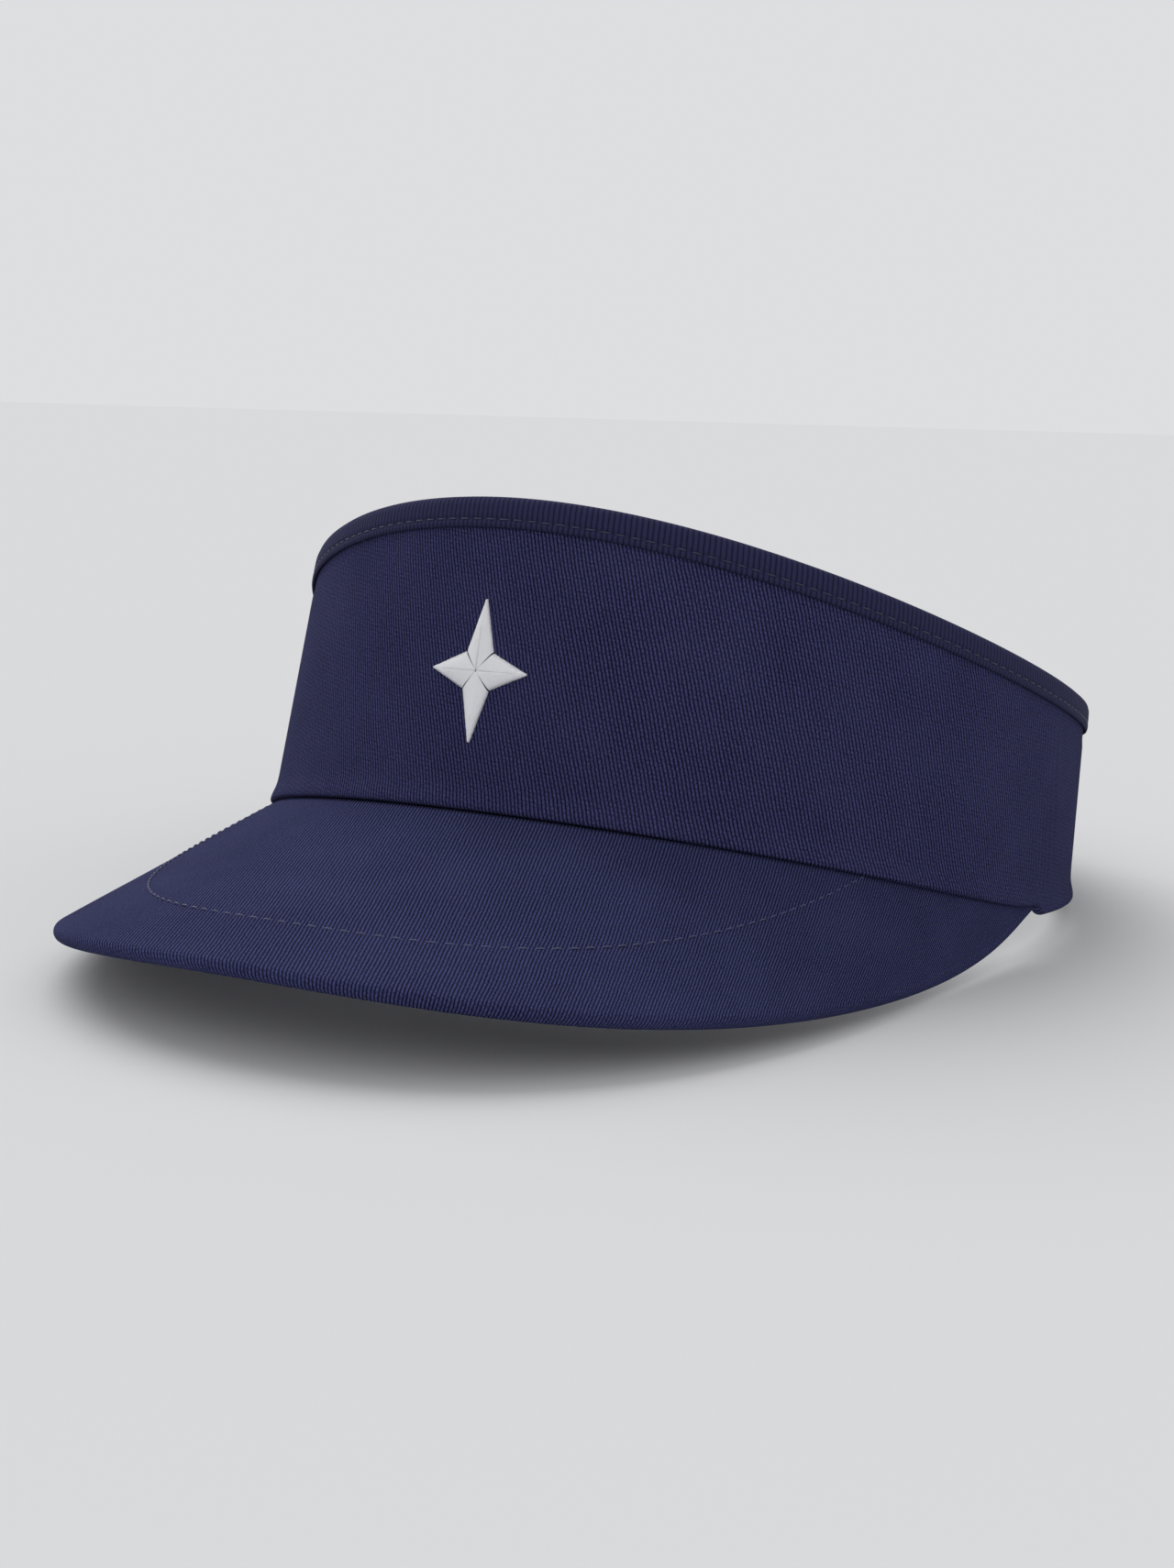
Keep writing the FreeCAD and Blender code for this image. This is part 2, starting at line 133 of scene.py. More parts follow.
def hem_height(t):
    """Height of the crown's hem: on the brim at the front, a straight line behind the brim's corners."""
    seat = np.maximum(seat_height(np.clip(t, -CORNER_ANGLE, CORNER_ANGLE)), straight_hem(t))
    behind = smooth(np.abs(t), CORNER_ANGLE - 1.0, CORNER_ANGLE + 2.0)
    return seat * (1 - behind) + straight_hem(t) * behind


def arc_length(points):
    """Running length along a line of points."""
    steps = np.linalg.norm(np.diff(points, axis=0), axis=1)
    return np.concatenate([[0.0], np.cumsum(steps)])


def angle_length(t, z=0.0):
    """Length along the wall from the front, for cloth coordinates, at each angle."""
    fine = np.linspace(-230, 230, 1841)
    length = arc_length(wall(fine, z))
    return np.interp(t, fine, length - np.interp(0, fine, length))


# ---------------------------------------------------------------- mesh helpers
def new_piece(name, verts, faces, uv, material, body, replaced=()):
    """A smooth-shaded mesh in the row frame, with cloth coordinates in metres."""
    mesh = bpy.data.meshes.new(name)
    mesh.from_pydata([tuple(v) for v in verts], [], [tuple(f) for f in faces])
    layer = mesh.uv_layers.new(name="cloth")
    if uv is not None:
        layer.data.foreach_set("uv", np.asarray(uv, float).ravel())
    mesh.materials.append(material)
    mesh.polygons.foreach_set("use_smooth", [True] * len(mesh.polygons))
    mesh.validate()
    piece = bpy.data.objects.new(name, mesh)
    bpy.context.scene.collection.objects.link(piece)
    if body:
        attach(piece, body)
    if replaced:
        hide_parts(*replaced)
    return piece


def ribbon(name, loops, uv, material, body, replaced=()):
    """Closed solid from rows of closed cross-section loops: loops is rows x points x 3, in crown mm.
    uv is rows x (points + 1) x 2, in mm. The two ends are capped."""
    rows, count = loops.shape[:2]
    verts = to_row(loops).reshape(-1, 3)
    faces, uvs = [], []
    for i in range(rows - 1):
        for k in range(count):
            n = (k + 1) % count
            faces.append((i * count + k, i * count + n, (i + 1) * count + n, (i + 1) * count + k))
            uvs += [uv[i, k], uv[i, k + 1], uv[i + 1, k + 1], uv[i + 1, k]]
    for row, order in ((0, range(count - 1, -1, -1)), (rows - 1, range(count))):
        faces.append(tuple(row * count + k for k in order))
        uvs += [uv[row, k] for k in order]
    piece = new_piece(name, verts, faces, np.array(uvs) * MM, material, body, replaced)
    for cap in piece.data.polygons[-2:]:
        cap.use_smooth = False
    return piece


def loop_uv(lengths, loops):
    """Cloth coordinates of a ribbon: along by the given lengths, across by distance round the loop."""
    closed = np.concatenate([loops, loops[:, :1]], 1)
    steps = np.linalg.norm(np.diff(closed, axis=1), axis=2)
    across = np.concatenate([np.zeros((len(loops), 1)), np.cumsum(steps, 1)], 1)
    along = np.repeat(np.asarray(lengths)[:, None], across.shape[1], 1)
    return np.stack([along, across], -1)


# ---------------------------------------------------------------- materials
class Nodes:
    """Short calls for building a node material."""

    def __init__(self, name):
        self.material = bpy.data.materials.new(name)
        self.material.use_nodes = True
        self.tree = self.material.node_tree
        self.shader = self.tree.nodes["Principled BSDF"]

    def node(self, kind, **inputs):
        made = self.tree.nodes.new(kind)
        for key, value in inputs.items():
            self.put(made.inputs[key.replace("_", " ")] if not key.startswith("i") or not key[1:].isdigit()
                     else made.inputs[int(key[1:])], value)
        return made

    def put(self, socket, value):
        if isinstance(value, bpy.types.NodeSocket):
            self.tree.links.new(value, socket)
        else:
            socket.default_value = value

    def math(self, operation, a, b=0.0, c=0.0, clamp=False):
        made = self.node("ShaderNodeMath", i0=a, i1=b, i2=c)
        made.operation, made.use_clamp = operation, clamp
        return made.outputs[0]

    def mix(self, share, a, b):
        made = self.tree.nodes.new("ShaderNodeMix")
        made.data_type = "RGBA"
        self.put(made.inputs[0], share)
        self.put(made.inputs[6], a)
        self.put(made.inputs[7], b)
        return made.outputs[2]

    def noise(self, scale, vector, detail=2.0, roughness=0.5):
        made = self.node("ShaderNodeTexNoise", Vector=vector, Scale=scale, Detail=detail, Roughness=roughness)
        return made.outputs["Fac"]

    def cloth(self):
        """Cloth coordinates, in metres: along and across."""
        made = self.tree.nodes.new("ShaderNodeUVMap")
        made.uv_map = "cloth"
        parts = self.node("ShaderNodeSeparateXYZ", Vector=made.outputs[0])
        return made.outputs[0], parts.outputs[0], parts.outputs[1]

    def bump(self, height, distance):
        made = self.node("ShaderNodeBump", Height=height, Distance=distance, Strength=1.0)
        return made.outputs[0]


SHEEN_TINT = (0.55, 0.6, 0.9, 1.0)      # the navy cloths' faint bluish fuzz


def rgb(r, g, b):
    """Linear colour from display values of 0 to 255."""
    def channel(v):
        v /= 255
        return v / 12.92 if v <= 0.04045 else ((v + 0.055) / 1.055) ** 2.4
    return (channel(r), channel(g), channel(b), 1.0)


def twill(name, groove, rib, lean, pitch=0.75, depth=0.16):
    """Cotton twill: steep round ribs of yarn, each broken into short floats, with a little fuzz and
    unevenness. The colour runs from the groove colour, painted shade in the hollows between ribs and
    floats, to the rib colour on their tops; the speckle and cloud laid over it are the yarn's own uneven
    tone. lean is how far the ribs turn from the across direction, in degrees."""
    n = Nodes(name)
    uv, along, across = n.cloth()
    bend = n.math("MULTIPLY", n.math("SUBTRACT", n.noise(110, uv, 1), 0.5), 0.7)
    wobble = n.math("MULTIPLY_ADD", n.math("SUBTRACT", n.noise(1100, uv, 2), 0.5), 0.35, bend)
    c, s = math.cos(math.radians(lean)), math.sin(math.radians(lean))
    over = n.math("MULTIPLY_ADD", along, c / (pitch * MM), n.math("MULTIPLY", across, s / (pitch * MM)))
    over = n.math("ADD", over, wobble)
    float_length = 0.9 * MM
    down = n.math("SUBTRACT", n.math("MULTIPLY", across, c / float_length),
                  n.math("MULTIPLY", along, s / float_length))
    ribs = n.math("ABSOLUTE", n.math("SINE", n.math("MULTIPLY", over, math.pi)))
    step = n.math("MULTIPLY", n.math("FLOOR", over), 0.37)
    floats = n.math("ABSOLUTE", n.math("SINE", n.math("MULTIPLY", n.math("ADD", down, step), math.pi)))
    fuzz = n.noise(4200, uv, 3, 0.7)
    speck = n.math("MULTIPLY_ADD", n.math("SUBTRACT", n.noise(2300, uv, 1), 0.5), 2.6, 0.5, clamp=True)
    cloud = n.noise(45, uv, 3, 0.6)
    relief = n.math("MULTIPLY", ribs, n.math("MULTIPLY_ADD", floats, 0.3, 0.7))
    relief = n.math("MULTIPLY_ADD", fuzz, 0.25, relief)
    # painted shade: the colour darkens with the ribs' and floats' relief into the grooves; the speckle and cloud
    # are the yarn's own tone
    groove_shade_and_tone = n.math("MULTIPLY", n.math("POWER", ribs, 1.25), n.math("MULTIPLY_ADD", floats, 0.3, 0.7))
    groove_shade_and_tone = n.math("MULTIPLY", groove_shade_and_tone, n.math("MULTIPLY_ADD", speck, 0.75, 0.55))
    groove_shade_and_tone = n.math("MULTIPLY_ADD", n.math("SUBTRACT", cloud, 0.5), 0.3, groove_shade_and_tone, clamp=True)
    n.put(n.shader.inputs["Base Color"], n.mix(groove_shade_and_tone, groove, rib))
    n.put(n.shader.inputs["Normal"], n.bump(relief, depth * MM))
    n.shader.inputs["Roughness"].default_value = 0.92
    n.shader.inputs["Specular IOR Level"].default_value = 0.02
    n.shader.inputs["Sheen Weight"].default_value = 0.02
    n.shader.inputs["Sheen Roughness"].default_value = 0.5
    n.shader.inputs["Sheen Tint"].default_value = SHEEN_TINT
    return n.material


def ribbed_tape(name, groove, rib, pitch=0.8, depth=0.16):
    """Binding tape: round ribs across its length, crossed by fine filling yarns. The relief also sets the
    colour, so the dark groove colour between the ribs is painted shade.
    """
    n = Nodes(name)
    uv, along, across = n.cloth()
    wobble = n.math("MULTIPLY", n.math("SUBTRACT", n.noise(700, uv, 2), 0.5), 0.3)
    ribs = n.math("ABSOLUTE", n.math("SINE", n.math("MULTIPLY", n.math("ADD", n.math(
        "MULTIPLY", along, 1 / (pitch * MM)), wobble), math.pi)))
    fine = n.math("ABSOLUTE", n.math("SINE", n.math("MULTIPLY", across, math.pi / (0.35 * MM))))
    fuzz = n.noise(4800, uv, 3, 0.7)
    round_ribs = n.math("MULTIPLY", n.math("POWER", ribs, 0.6), 0.8)
    relief = n.math("ADD", round_ribs, n.math("MULTIPLY", fine, 0.12))
    relief = n.math("ADD", relief, n.math("MULTIPLY", fuzz, 0.2))
    # painted shade: the colour follows the relief, dark in the grooves between ribs and yarns
    n.put(n.shader.inputs["Base Color"], n.mix(relief, groove, rib))
    n.put(n.shader.inputs["Normal"], n.bump(relief, depth * MM))
    n.shader.inputs["Roughness"].default_value = 0.85
    n.shader.inputs["Specular IOR Level"].default_value = 0.05
    n.shader.inputs["Sheen Weight"].default_value = 0.04
    n.shader.inputs["Sheen Tint"].default_value = SHEEN_TINT
    return n.material


def thread(name, colour, roughness=0.5, sheen=0.2):
    """Twisted sewing thread: fine diagonal ply lines, with painted shade in the grooves between the plies."""
    n = Nodes(name)
    place = n.tree.nodes.new("ShaderNodeTexCoord")
    parts = n.node("ShaderNodeSeparateXYZ", Vector=place.outputs["Object"])
    total = n.math("ADD", n.math("ADD", parts.outputs[0], parts.outputs[1]), parts.outputs[2])
    ply = n.math("ABSOLUTE", n.math("SINE", n.math("MULTIPLY", total, math.pi / (0.22 * MM))))
    # painted shade: a darker copy of the thread colour fills the grooves between plies
    ply_groove_shade = tuple(c * 0.6 for c in colour[:3]) + (1.0,)
    n.put(n.shader.inputs["Base Color"], n.mix(ply, ply_groove_shade, colour))
    n.put(n.shader.inputs["Normal"], n.bump(ply, 0.04 * MM))
    n.shader.inputs["Roughness"].default_value = roughness
    n.shader.inputs["Sheen Weight"].default_value = sheen
    return n.material


def speckle(name, low, high, scale, depth, roughness=0.9, sheen=0.3):
    """Plain soft stuff, such as terry, foam, loop tape or backing, told apart by grain size. One noise sets
    both the bump and the colour, so the low, darker spots are painted shade in the hollows between loops,
    cells and fibres.
    """
    n = Nodes(name)
    place = n.tree.nodes.new("ShaderNodeTexCoord")
    spot = n.noise(scale, place.outputs["Object"], 3.0, 0.65)
    sharp = n.math("MULTIPLY_ADD", n.math("SUBTRACT", spot, 0.5), 2.2, 0.5, clamp=True)
    # painted shade: the colour follows the bump, darker in its hollows
    n.put(n.shader.inputs["Base Color"], n.mix(sharp, low, high))
    n.put(n.shader.inputs["Normal"], n.bump(sharp, depth * MM))
    n.shader.inputs["Roughness"].default_value = roughness
    n.shader.inputs["Specular IOR Level"].default_value = 0.1
    n.shader.inputs["Sheen Weight"].default_value = sheen
    n.shader.inputs["Sheen Tint"].default_value = SHEEN_TINT
    return n.material


def plain_weave(name, low, high, pitch=0.45, depth=0.06, roughness=0.85, by_place=False):
    """Plain weave: warp and weft cross over and under each other. The relief also sets the colour, so the
    low colour in the hollows between crossings is painted shade.
    """
    n = Nodes(name)
    if by_place:
        place = n.tree.nodes.new("ShaderNodeTexCoord")
        parts = n.node("ShaderNodeSeparateXYZ", Vector=place.outputs["Object"])
        uv = place.outputs["Object"]
        along, across = n.math("ADD", parts.outputs[0], parts.outputs[1]), parts.outputs[2]
    else:
        uv, along, across = n.cloth()
    turn = math.pi / (pitch * MM)
    a, b = n.math("SINE", n.math("MULTIPLY", along, turn)), n.math("SINE", n.math("MULTIPLY", across, turn))
    weave = n.math("MULTIPLY_ADD", n.math("MULTIPLY", a, b), 0.5, 0.5)
    fuzz = n.noise(3500, uv, 2, 0.6)
    relief = n.math("ADD", n.math("MULTIPLY", weave, 0.8), n.math("MULTIPLY", fuzz, 0.3))
    # painted shade: the colour follows the relief, darker in the hollows of the weave
    n.put(n.shader.inputs["Base Color"], n.mix(relief, low, high))
    n.put(n.shader.inputs["Normal"], n.bump(relief, depth * MM))
    n.shader.inputs["Roughness"].default_value = roughness
    n.shader.inputs["Specular IOR Level"].default_value = 0.1
    n.shader.inputs["Sheen Weight"].default_value = 0.03
    return n.material


# In the cloths and soft stuff below, the first, darker colour is painted shade that fills the hollows of the
# relief and the second is the colour of the lit tops; each thread's shade is a darker copy made from its one
# colour
CROWN_TWILL = twill("crown_twill", rgb(6, 6, 30), rgb(66, 67, 106), lean=17.0)
BRIM_TWILL = twill("brim_twill", rgb(5, 5, 28), rgb(65, 68, 108), pitch=0.7, lean=20.5)
STRAP_TWILL = twill("strap_twill", rgb(6, 6, 30), rgb(66, 67, 106), lean=30.0)
TAPE = ribbed_tape("binding_tape", rgb(2, 2, 12), rgb(45, 45, 76), pitch=1.1, depth=0.22)
LABEL_THREAD = thread("label_thread", rgb(150, 152, 160))
NAVY_THREAD = thread("navy_thread", rgb(60, 63, 102), sheen=0.03)
BINDING_THREAD = thread("binding_thread", rgb(42, 44, 76), sheen=0.03)
WHITE_THREAD = thread("white_thread", rgb(250, 250, 253), roughness=0.4, sheen=0.3)
LINING = plain_weave("lining_weave", rgb(8, 8, 28), rgb(44, 46, 78), pitch=0.55, depth=0.08)
HEM_TAPE = plain_weave("tape_weave", rgb(8, 8, 28), rgb(46, 48, 80), pitch=0.7, depth=0.08)
TERRY = speckle("terry_loops", rgb(12, 12, 38), rgb(66, 69, 110), 1500, 0.35, 0.95, 0.06)
LOOP_TAPE = speckle("loop_tape", rgb(10, 10, 30), rgb(52, 54, 86), 2600, 0.3, 0.95, 0.08)
HOOK_TAPE = speckle("hook_tape", rgb(14, 15, 30), rgb(48, 49, 74), 1900, 0.3, 0.45, 0.0)
LABEL = plain_weave("label_weave", rgb(196, 196, 192), rgb(232, 232, 228), pitch=0.3, depth=0.03)
BUCKRAM = plain_weave("buckram_weave", rgb(190, 186, 170), rgb(224, 221, 208), pitch=1.1, by_place=True)
PAPER = speckle("backing_paper", rgb(214, 213, 208), rgb(236, 236, 232), 900, 0.08)
FOAM = speckle("foam_cells", rgb(178, 177, 170), rgb(214, 213, 206), 1800, 0.2)
BOARD = speckle("board_plastic", rgb(206, 207, 204), rgb(222, 223, 220), 120, 0.03, 0.4, 0.0)


# ---------------------------------------------------------------- crown
def build_crown():
    """Outer cloth: runs down from under the binding to a rolled hem that stands a little proud."""
    t = np.linspace(-CROWN_END, CROWN_END, 461)
    top, hem = top_height(t, 1.2), hem_height(t)
    # the hem's radius, how far it swells out, the depth that it is folded in to, its gap over the brim
    roll, bulge, fold, gap = 0.7, 0.9, 1.7, 0.35
    loops = []
    outer_share = np.concatenate([np.linspace(0, 0.84, 22), np.linspace(0.86, 1.0, 12)])
    round_steps = np.radians(np.linspace(0, 180, 9)[1:-1])
    for ti, z1, z0 in zip(t, top, hem):
        low = z0 + roll + gap
        z = z1 + (low - z1) * outer_share
        depth = -bulge * np.exp(-((z - low) / 2.6) ** 2) + 0.25 * np.exp(-((z1 - 5.6 - z) / 1.6) ** 2)
        turn_depth = (fold - bulge) / 2 - (fold + bulge) / 2 * np.cos(round_steps)
        turn_z = low - roll * np.sin(round_steps)
        back_z = low + (z1 - low) * np.linspace(0, 1, 24) ** 2
        back_depth = 0.8 + (fold - 0.8) * np.exp(-((back_z - low) / 0.7) ** 2)
        zs = np.concatenate([z, turn_z, back_z])
        ds = np.concatenate([depth, turn_depth, back_depth])
        loops.append(wall(ti, zs, ds))
    loops = np.array(loops)
    along = np.repeat(angle_length(t)[:, None], loops.shape[1] + 1, 1)
    closed = np.concatenate([loops, loops[:, :1]], 1)
    uv = np.stack([along, closed[..., 2]], -1)
    ribbon("crown_cloth", loops, uv, CROWN_TWILL, "root", ["crown_panel"])

    inner_t = np.linspace(-CROWN_END, CROWN_END, 231)
    z1, z0 = top_height(inner_t, 1.2), hem_height(inner_t) + 1.0
    share = np.linspace(0, 1, 12)
    z = z1[:, None] + (z0 - z1)[:, None] * share
    front, back = wall(inner_t[:, None], z, 2.05), wall(inner_t[:, None], z, 2.5)
    loops = np.concatenate([front, back[:, ::-1]], 1)
    ribbon("lining_cloth", loops, loop_uv(angle_length(inner_t), loops), LINING, "root",
           ["crown_lining"])


def build_binding():
    """Tape folded over the top edge; its outer leg has a stitched groove near its lower edge."""
    t = np.linspace(-CROWN_END, CROWN_END, 691)
    # (depth, drop below the top edge): down the outer leg's face, round its lower edge, up and over
    # inside, down the inner leg and back up its face and over the fold
    groove = BINDING_WIDTH - 1.6
    outer = [(-0.75, 1.5), (-0.78, 2.4), (-0.8, 3.2), (-0.78, groove - 0.5), (-0.62, groove - 0.22),
             (-0.5, groove), (-0.62, groove + 0.22), (-0.82, groove + 0.55), (-0.8, BINDING_WIDTH - 0.7),
             (-0.66, BINDING_WIDTH - 0.2), (-0.35, BINDING_WIDTH), (-0.08, BINDING_WIDTH - 0.2)]
    inside = [(-0.05, 1.3), (0.4, 0.75), (2.1, 0.75), (2.52, 1.3), (2.55, BINDING_WIDTH - 0.2)]
    back = [(2.8, BINDING_WIDTH), (3.12, BINDING_WIDTH - 0.3), (3.2, 4.0), (3.2, 2.0)]
    fold = [(2.9, 0.75), (2.2, 0.15), (1.2, 0.0), (0.2, 0.12), (-0.45, 0.6)]
    section = np.array(outer + inside + back + fold)
    rows = []
    for depth, drop in section:
        rows.append(wall(t, top_height(t, drop), depth))
    loops = np.stack(rows, 1)
    ribbon("binding_tape", loops, loop_uv(angle_length(t, 40.0), loops), TAPE, "root",
           ["top_binding"])


def add_tube(verts, faces, centre, side, up, girth, sides=6):
    """Add a tube with closed ends round a line of centres, with a girth at each centre."""
    circle = np.radians(np.arange(sides) * 360 / sides)
    base, rings = len(verts), len(centre)
    for k in range(rings):
        for a in circle:
            verts.append(centre[k] + (side[k] * math.cos(a) + up[k] * math.sin(a)) * girth[k])
    for k in range(rings - 1):
        for j in range(sides):
            n = (j + 1) % sides
            faces.append((base + k * sides + j, base + k * sides + n,
                          base + (k + 1) * sides + n, base + (k + 1) * sides + j))
    faces.append(tuple(base + j for j in range(sides - 1, -1, -1)))
    faces.append(tuple(base + (rings - 1) * sides + j for j in range(sides)))


def stitch_mesh(path, normals, length, gap, radius, sink=0.35, wander=0.0):
    """Short bent tubes along a path: each rises out of the cloth, runs over it and dives back in.
    sink is the share of the radius that is under the cloth, wander how far a stitch may stray in mm."""
    run = arc_length(path)
    verts, faces = [], []
    count = max(1, int(run[-1] / (length + gap)))
    pitch = run[-1] / count
    rings = 7
    for i in range(count):
        start = i * pitch + gap / 2
        s = np.linspace(start, start + pitch - gap, rings)
        centre = np.stack([np.interp(s, run, path[:, k]) for k in range(3)], -1)
        normal = np.stack([np.interp(s, run, normals[:, k]) for k in range(3)], -1)
        normal /= np.linalg.norm(normal, axis=1)[:, None]
        tangent = np.gradient(centre, axis=0)
        tangent /= np.linalg.norm(tangent, axis=1)[:, None]
        side = np.cross(tangent, normal)
        u = np.linspace(-1, 1, rings)
        lift = radius * (1 - sink) - radius * 1.9 * np.abs(u) ** 4
        shift = wander * RNG.uniform(-1, 1) * u
        girth = radius * (1 - 0.35 * np.abs(u) ** 3)
        mid = centre + normal * lift[:, None] + side * shift[:, None]
        add_tube(verts, faces, mid, side, normal, girth)
    return np.array(verts), faces


def stitches(name, rows, material, body, length, gap, radius, replaced=()):
    """One piece that holds one or more rows of stitches; each row is (path, normals) in crown mm."""
    verts, faces = [], []
    for path, normals in rows:
        v, f = stitch_mesh(path, normals, length, gap, radius)
        base = sum(len(part) for part in verts)
        verts.append(v)
        faces += [tuple(base + k for k in face) for face in f]
    verts = to_row(np.concatenate(verts))
    return new_piece(name, verts, faces, None, material, body, replaced)


def wall_line(t, z, depth):
    """Path and outward normals of a line on the wall; a depth below zero is outside it."""
    path = wall(t, z, depth)
    out = wall(t, z, depth - 1.0) - path
    return path, out / np.linalg.norm(out, axis=1)[:, None]


def build_crown_stitches():
    t = np.linspace(-CROWN_END + 1, CROWN_END - 1, 1200)
    groove = BINDING_WIDTH - 1.6
    stitches("binding_stitches", [wall_line(t, top_height(t, groove), -0.52)], BINDING_THREAD, "root",
             2.3, 0.7, 0.2, ["binding_stitch"])


# ---------------------------------------------------------------- brim
def brim_edge(count):
    """The brim's outline in plan, from its right corner round the front to its left one."""
    u = np.linspace(0, 1, 200)
    half, reach = BRIM_HALF_WIDTH, BRIM_REACH
    poles = np.array([(half, SHOULDER_Y), (half, SHOULDER_Y - SIDE_FULLNESS * reach),
                      (FRONT_FULLNESS * half, SHOULDER_Y - reach), (0, SHOULDER_Y - reach)])
    weights = np.stack([(1 - u) ** 3, 3 * u * (1 - u) ** 2, 3 * u * u * (1 - u), u ** 3], -1)
    quarter = weights @ poles
    left = np.concatenate([[(half, CORNER_Y)], quarter])
    right = left[::-1] * (-1, 1)
    line = np.concatenate([left, right[1:]])[::-1]
    run = arc_length(line)
    s = np.linspace(0, run[-1], count)
    return np.stack([np.interp(s, run, line[:, k]) for k in range(2)], -1)


def brim_normal(x, y):
    """Upward unit normal of the brim's top face."""
    e = 0.05
    dx = (brim_height(x + e, y) - brim_height(x - e, y)) / (2 * e)
    dy = np.full(np.shape(x), math.tan(BRIM_SLOPE))
    n = np.stack([-dx, -dy, np.ones(np.shape(x))], -1)
    return n / np.linalg.norm(n, axis=-1)[..., None]


def brim_frame(count, depth):
    """For each row across the brim: the seam point, the edge point, and the outward way at the edge."""
    edge = brim_edge(count)
    t = CORNER_ANGLE * np.linspace(-1, 1, count)
    seat = wall(t, seat_height(t), depth)
    tangent = np.gradient(edge, axis=0)
    tangent /= np.linalg.norm(tangent, axis=1)[:, None]
    plan_out = np.stack([tangent[:, 1], -tangent[:, 0]], -1)
    return seat[:, :2], edge, plan_out


def cloth_wave(x, y):
    """Slight unevenness of cloth stretched over a board."""
    return 0.10 * np.sin(x / 19.0 + 0.6) * np.sin(y / 23.0 + 1.1) + 0.05 * np.sin(x / 7.3 + y / 9.1)


def flat_brim(x, y):
    """Cloth coordinates of the brim: the arched surface unrolled flat."""
    across = ARCH_HALF_WIDTH * np.arcsin(np.clip(x / ARCH_HALF_WIDTH, -1, 1))
    return np.stack([across, y / math.cos(BRIM_SLOPE)], -1)


def brim_section(count, inner_depth, shares, roll, angles, sink=0.0):
    """Points of the brim's top face from the seam to the edge, then round the edge."""
    seat, edge, out = brim_frame(count, inner_depth)
    rim_n = brim_normal(edge[:, 0] * 0.985, edge[:, 1])
    out3 = np.stack([out[:, 0], out[:, 1], np.zeros(count)], -1)
    out3 -= rim_n * np.sum(out3 * rim_n, 1)[:, None]
    out3 /= np.linalg.norm(out3, axis=1)[:, None]
    rim = np.stack([edge[:, 0], edge[:, 1], brim_height(edge[:, 0], edge[:, 1])], -1)
    shoulder = rim - out3 * roll
    columns, cloth = [], []
    for s in shares:
        xy = seat + (shoulder[:, :2] - seat) * s
        z = shoulder[:, 2] if s == 1 else brim_height(xy[:, 0], xy[:, 1])
        p = np.stack([xy[:, 0], xy[:, 1], z], -1)
        cloth.append(flat_brim(xy[:, 0], xy[:, 1]))
        lift = cloth_wave(p[:, 0], p[:, 1]) * smooth(s, 0, 0.2) * (1 - smooth(s, 0.85, 1.0)) - sink
        columns.append(p + brim_normal(p[:, 0], p[:, 1]) * lift[:, None])
    centre = shoulder - rim_n * roll
    for a in np.radians(angles):
        columns.append(centre + (rim_n * math.cos(a) + out3 * math.sin(a)) * (roll - sink))
        cloth.append(cloth[len(shares) - 1] + out * roll * a)
    return np.stack(columns, 1), np.stack(cloth, 1)


def build_brim():
    """Top cloth that wraps the rounded edge, and an under cloth that meets it beneath."""
    count, roll, cloth = 421, BRIM_THICKNESS / 2, 0.5
    shares = np.concatenate([np.linspace(0, 0.9, 40), np.linspace(0.92, 1.0, 7)])
    angles = np.linspace(0, 200, 15)[1:]
    face, face_uv = brim_section(count, 1.4, shares, roll, angles)
    under, under_uv = brim_section(count, 1.4, shares[::4], roll, angles[::2], sink=cloth)
    loops = np.concatenate([face, under[:, ::-1]], 1)
    uv = np.concatenate([face_uv, under_uv[:, ::-1], face_uv[:, :1]], 1)
    ribbon("brim_cloth", loops, uv, BRIM_TWILL, "root", ["brim_top_cover"])

    seat, edge, out = brim_frame(count, 3.1)
    board_seat = brim_frame(count, 2.6)[0]
    inner_shares = np.linspace(0, 1, 16)
    rows = []
    inset = edge - out * (roll + 0.3)
    for level in (BRIM_THICKNESS - 0.03, BRIM_THICKNESS - 0.6):
        columns = []
        for s in inner_shares:
            xy = seat + (inset - seat) * s
            p = np.stack([xy[:, 0], xy[:, 1], brim_height(xy[:, 0], xy[:, 1])], -1)
            columns.append(p - brim_normal(p[:, 0], p[:, 1]) * level)
        rows.append(np.stack(columns, 1))
    lip = []                                    # turned up over the board's inner edge
    for xy, level in ((board_seat, BRIM_THICKNESS - 0.6), (board_seat, 0.3), (seat, 0.3)):
        p = np.stack([xy[:, 0], xy[:, 1], brim_height(xy[:, 0], xy[:, 1])], -1)
        lip.append(p - brim_normal(p[:, 0], p[:, 1]) * level)
    loops = np.concatenate([rows[0], rows[1][:, :0:-1], np.stack(lip, 1)], 1)
    closed = np.concatenate([loops, loops[:, :1]], 1)
    ribbon("brim_under_cloth", loops, closed[..., :2], BRIM_TWILL, "root", ["brim_under_cover"])


def build_brim_stitches():
    """One row, a steady distance inside the edge, that ends under the crown on both sides."""
    edge = brim_edge(900)
    tangent = np.gradient(edge, axis=0)
    tangent /= np.linalg.norm(tangent, axis=1)[:, None]
    line = edge - np.stack([tangent[:, 1], -tangent[:, 0]], -1) * STITCH_INSET
    p = np.stack([line[:, 0], line[:, 1], brim_height(line[:, 0], line[:, 1])], -1)
    outside = (p[:, 0] / HALF_WIDTH) ** 2 + (p[:, 1] / HALF_LENGTH) ** 2 > 1.0
    ahead = p[:, 1] < -24
    p = p[outside & ahead]
    stitches("brim_stitches", [(p, brim_normal(p[:, 0], p[:, 1]))], NAVY_THREAD, "root",
             2.2, 0.9, 0.17, ["brim_stitch"])


